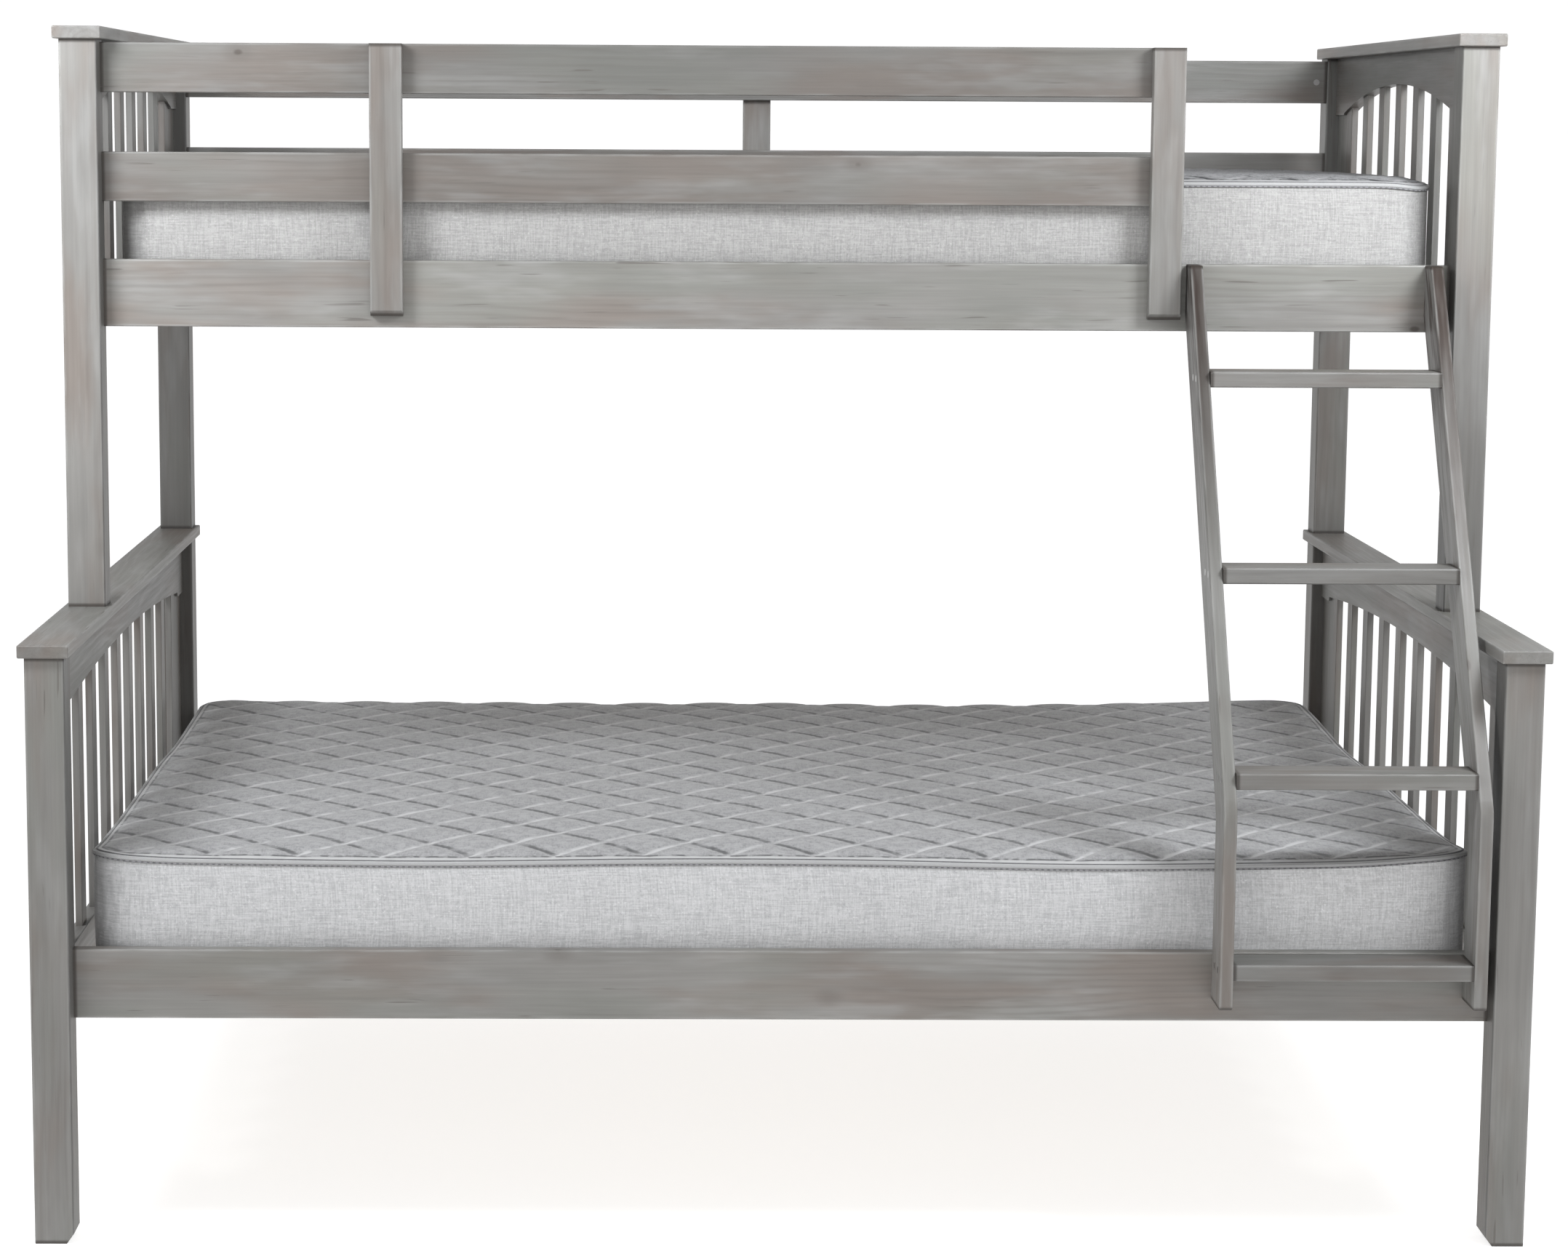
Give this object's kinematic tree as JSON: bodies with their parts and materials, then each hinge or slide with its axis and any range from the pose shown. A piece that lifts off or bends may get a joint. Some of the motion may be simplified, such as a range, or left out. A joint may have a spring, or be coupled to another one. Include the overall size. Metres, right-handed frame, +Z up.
{
  "type": "bunk bed with ladder",
  "caption": "Twin-over-full bunk bed of grey-washed wood with slatted arched end panels, guard boards, a leaning front ladder and a quilted mattress on each deck.",
  "frame": {"origin": "on the floor, at the centre of the whole object's footprint box", "axes": "+X along the beds, to the right seen from the ladder side; -Y towards the ladder side (front); +Z up"},
  "size_m": [2.035, 1.495, 1.636],
  "materials": {
    "grey_pine": "matte",
    "raw_pine": "matte",
    "dowel_wood": "matte",
    "steel": "satin",
    "mattress_cover": "matte"
  },
  "bodies": {
    "bed_frame": {"lower_post_front_left": "grey_pine", "lower_post_back_left": "grey_pine", "upper_post_front_left": "grey_pine", "upper_post_back_left": "grey_pine", "lower_cap_left": "grey_pine", "upper_cap_left": "grey_pine", "lower_arched_rail_left": "grey_pine", "upper_arched_rail_left": "grey_pine", "lower_end_rail_left": "grey_pine", "upper_end_rail_left": "grey_pine", "lower_panel_slats_left": "grey_pine", "upper_panel_slats_left": "grey_pine", "lower_post_front_right": "grey_pine", "lower_post_back_right": "grey_pine", "upper_post_front_right": "grey_pine", "upper_post_back_right": "grey_pine", "lower_cap_right": "grey_pine", "upper_cap_right": "grey_pine", "lower_arched_rail_right": "grey_pine", "upper_arched_rail_right": "grey_pine", "lower_end_rail_right": "grey_pine", "upper_end_rail_right": "grey_pine", "lower_panel_slats_right": "grey_pine", "upper_panel_slats_right": "grey_pine", "lower_side_rail_front": "grey_pine", "lower_side_rail_back": "grey_pine", "upper_side_rail_front": "grey_pine", "upper_side_rail_back": "grey_pine", "guard_board_front_low": "grey_pine", "guard_board_front_high": "grey_pine", "guard_board_back_low": "grey_pine", "guard_board_back_high": "grey_pine", "guard_upright_front_left": "grey_pine", "guard_upright_front_right": "grey_pine", "guard_upright_back": "grey_pine", "ladder_stile_left": "grey_pine", "ladder_stile_right": "grey_pine", "ladder_rung_1": "grey_pine", "ladder_rung_2": "grey_pine", "ladder_rung_3": "grey_pine", "ladder_rung_4": "grey_pine", "lower_ledger_front": "raw_pine", "lower_ledger_back": "raw_pine", "lower_deck_slats": "raw_pine", "upper_ledger_front": "raw_pine", "upper_ledger_back": "raw_pine", "upper_deck_slats": "raw_pine", "wood_dowels": "dowel_wood", "side_rail_bolts": "steel", "barrel_nuts": "steel", "stacking_pins": "steel", "ledger_screws": "steel", "deck_slat_screws": "steel", "guard_screws": "steel", "ladder_rung_screws": "steel", "ladder_bolts": "steel"},
    "lower_mattress_body": {"lower_mattress": "mattress_cover"},
    "upper_mattress_body": {"upper_mattress": "mattress_cover"}
  },
  "joints": [
    {"name": "lower_mattress_lift", "type": "slide", "parent": "bed_frame", "child": "lower_mattress_body", "axis": [0, 0, 1], "range_m": [0, 0.09]},
    {"name": "upper_mattress_lift", "type": "slide", "parent": "bed_frame", "child": "upper_mattress_body", "axis": [0, 0, 1], "range_m": [0, 0.3]}
  ]
}
